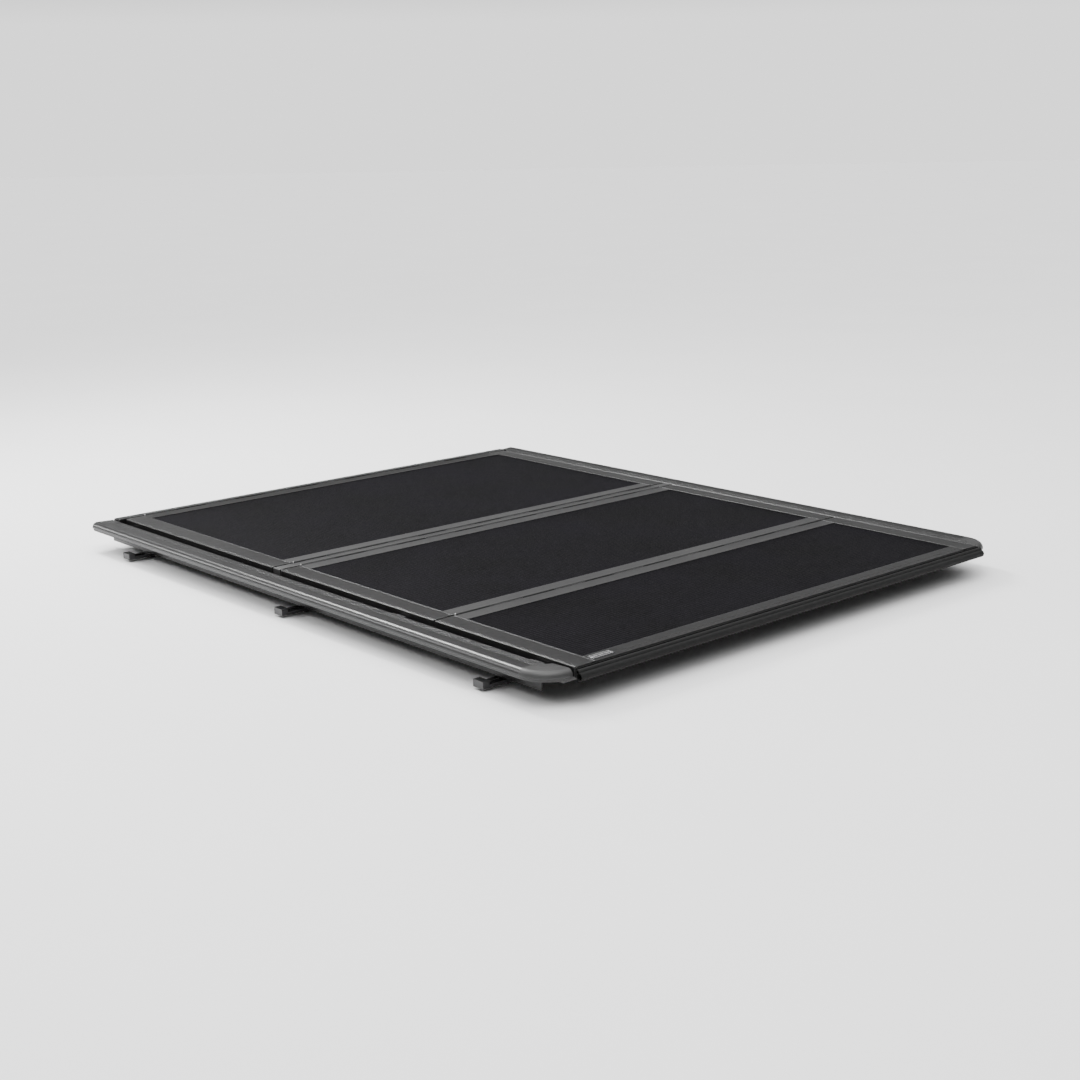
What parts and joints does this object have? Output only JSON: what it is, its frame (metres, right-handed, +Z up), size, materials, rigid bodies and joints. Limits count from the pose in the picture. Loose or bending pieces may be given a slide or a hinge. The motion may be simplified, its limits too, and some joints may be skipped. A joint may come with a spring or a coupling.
{
  "type": "tonneau cover",
  "caption": "Hard folding pickup bed cover: textured panels in aluminium frames, hinged together and clamped to the bed by side rails with latches, seals and prop rods.",
  "frame": {"origin": "centre of the header seal's underside, where it rests on the bed's bulkhead", "axes": "+Z up, +Y forwards to the cab, +X to the truck's right side; the bed rails' tops are the plane Z = 0"},
  "size_m": [1.704, 2.092, 0.0952],
  "materials": {
    "satin_black_aluminium": "black powder-coated extrusion, fine texture",
    "hinge_aluminium": "black powder-coated hinge extrusion, coarser and a little lighter than the frames",
    "textured_skin": "black fibre-reinforced sheet with a moulded leather grain",
    "foam_core": "closed-cell foam board",
    "black_plastic": "moulded, lightly textured",
    "rubber": "extruded weather seal",
    "zinc_steel": "zinc-plated",
    "black_steel": "black e-coat",
    "plate_metal": "plain dark badge blank"
  },
  "bodies": {
    "base": {"left_rail": "satin_black_aluminium", "right_rail": "satin_black_aluminium", "drain_gutters": "satin_black_aluminium", "seat_tapes": "rubber", "bulb_seals": "rubber", "header_bar": "satin_black_aluminium", "header_seal": "rubber", "header_pin": "zinc_steel", "corner_brackets": "black_steel", "rail_end_caps": "black_plastic", "drain_elbows": "black_plastic", "latch_strikers": "black_steel", "clamp_brackets": "black_steel", "prop_pegs": "zinc_steel"},
    "front_panel": {"front_skins": "textured_skin", "front_core": "foam_core", "front_side_frames": "satin_black_aluminium", "front_header_frame": "satin_black_aluminium", "front_hinge_frame": "hinge_aluminium", "prop_rod_mounts": "black_steel"},
    "left_prop": {"left_prop_rod": "zinc_steel"},
    "right_prop": {"right_prop_rod": "zinc_steel"},
    "double_hinge": {"hinge_link": "hinge_aluminium", "link_end_caps": "black_plastic", "link_pins": "zinc_steel", "link_gaskets": "rubber"},
    "mid_panel": {"mid_skins": "textured_skin", "mid_core": "foam_core", "mid_side_frames": "satin_black_aluminium", "mid_front_frame": "hinge_aluminium", "mid_rear_frame": "hinge_aluminium", "mid_latch_housings": "black_plastic", "mid_left_spring": "zinc_steel", "mid_right_spring": "zinc_steel", "mid_release_cable": "black_plastic", "rear_hinge_gasket": "rubber"},
    "mid_bolt_left": {"mid_left_bolt": "zinc_steel"},
    "mid_bolt_right": {"mid_right_bolt": "zinc_steel"},
    "rear_panel": {"rear_skins": "textured_skin", "rear_core": "foam_core", "rear_side_frames": "satin_black_aluminium", "rear_front_frame": "hinge_aluminium", "rear_tail_frame": "satin_black_aluminium", "rear_latch_housings": "black_plastic", "rear_left_spring": "zinc_steel", "rear_right_spring": "zinc_steel", "rear_release_cable": "black_plastic", "rear_hinge_pin": "zinc_steel", "rear_feet": "rubber", "tailgate_seal": "rubber", "maker_plate": "plate_metal"},
    "rear_bolt_left": {"rear_left_bolt": "zinc_steel"},
    "rear_bolt_right": {"rear_right_bolt": "zinc_steel"},
    "left_jaw_1": {"left_clamp_jaw_1": "black_steel"},
    "left_jaw_2": {"left_clamp_jaw_2": "black_steel"},
    "left_jaw_3": {"left_clamp_jaw_3": "black_steel"},
    "right_jaw_1": {"right_clamp_jaw_1": "black_steel"},
    "right_jaw_2": {"right_clamp_jaw_2": "black_steel"},
    "right_jaw_3": {"right_clamp_jaw_3": "black_steel"}
  },
  "joints": [
    {"name": "front_lift", "type": "hinge", "parent": "base", "child": "front_panel", "pos_m": [0, -0.0235, 0.031], "axis": [-1, 0, 0], "range_deg": [0, 85]},
    {"name": "link_fold", "type": "hinge", "parent": "front_panel", "child": "double_hinge", "pos_m": [0, -0.8455, 0.031], "axis": [-1, 0, 0], "range_deg": [0, 90]},
    {"name": "mid_fold", "type": "hinge", "parent": "double_hinge", "child": "mid_panel", "pos_m": [0, -0.8835, 0.031], "axis": [-1, 0, 0], "range_deg": [0, 90]},
    {"name": "rear_fold", "type": "hinge", "parent": "mid_panel", "child": "rear_panel", "pos_m": [0, -1.5515, 0.031], "axis": [-1, 0, 0], "range_deg": [0, 180]},
    {"name": "mid_left_latch", "type": "slide", "parent": "mid_panel", "child": "mid_bolt_left", "axis": [-1, 0, 0], "range_m": [0, 0.014], "deforming": ["mid_left_spring"]},
    {"name": "mid_right_latch", "type": "slide", "parent": "mid_panel", "child": "mid_bolt_right", "axis": [1, 0, 0], "range_m": [0, 0.014], "deforming": ["mid_right_spring"]},
    {"name": "rear_left_latch", "type": "slide", "parent": "rear_panel", "child": "rear_bolt_left", "axis": [-1, 0, 0], "range_m": [0, 0.014], "deforming": ["rear_left_spring"]},
    {"name": "rear_right_latch", "type": "slide", "parent": "rear_panel", "child": "rear_bolt_right", "axis": [1, 0, 0], "range_m": [0, 0.014], "deforming": ["rear_right_spring"]},
    {"name": "left_prop", "type": "hinge", "parent": "front_panel", "child": "left_prop", "pos_m": [-0.725, -0.267, -0.0035], "axis": [1, 0, 0], "range_deg": [0, 120]},
    {"name": "right_prop", "type": "hinge", "parent": "front_panel", "child": "right_prop", "pos_m": [0.725, -0.267, -0.0035], "axis": [1, 0, 0], "range_deg": [0, 120]},
    {"name": "left_clamp_1", "type": "slide", "parent": "base", "child": "left_jaw_1", "axis": [0, 0, -1], "range_m": [0, 0.012]},
    {"name": "left_clamp_2", "type": "slide", "parent": "base", "child": "left_jaw_2", "axis": [0, 0, -1], "range_m": [0, 0.012]},
    {"name": "left_clamp_3", "type": "slide", "parent": "base", "child": "left_jaw_3", "axis": [0, 0, -1], "range_m": [0, 0.012]},
    {"name": "right_clamp_1", "type": "slide", "parent": "base", "child": "right_jaw_1", "axis": [0, 0, -1], "range_m": [0, 0.012]},
    {"name": "right_clamp_2", "type": "slide", "parent": "base", "child": "right_jaw_2", "axis": [0, 0, -1], "range_m": [0, 0.012]},
    {"name": "right_clamp_3", "type": "slide", "parent": "base", "child": "right_jaw_3", "axis": [0, 0, -1], "range_m": [0, 0.012]}
  ],
  "couplings": [
    {"joint": "mid_right_latch", "follows": "mid_left_latch", "ratio": 1},
    {"joint": "rear_right_latch", "follows": "rear_left_latch", "ratio": 1}
  ]
}
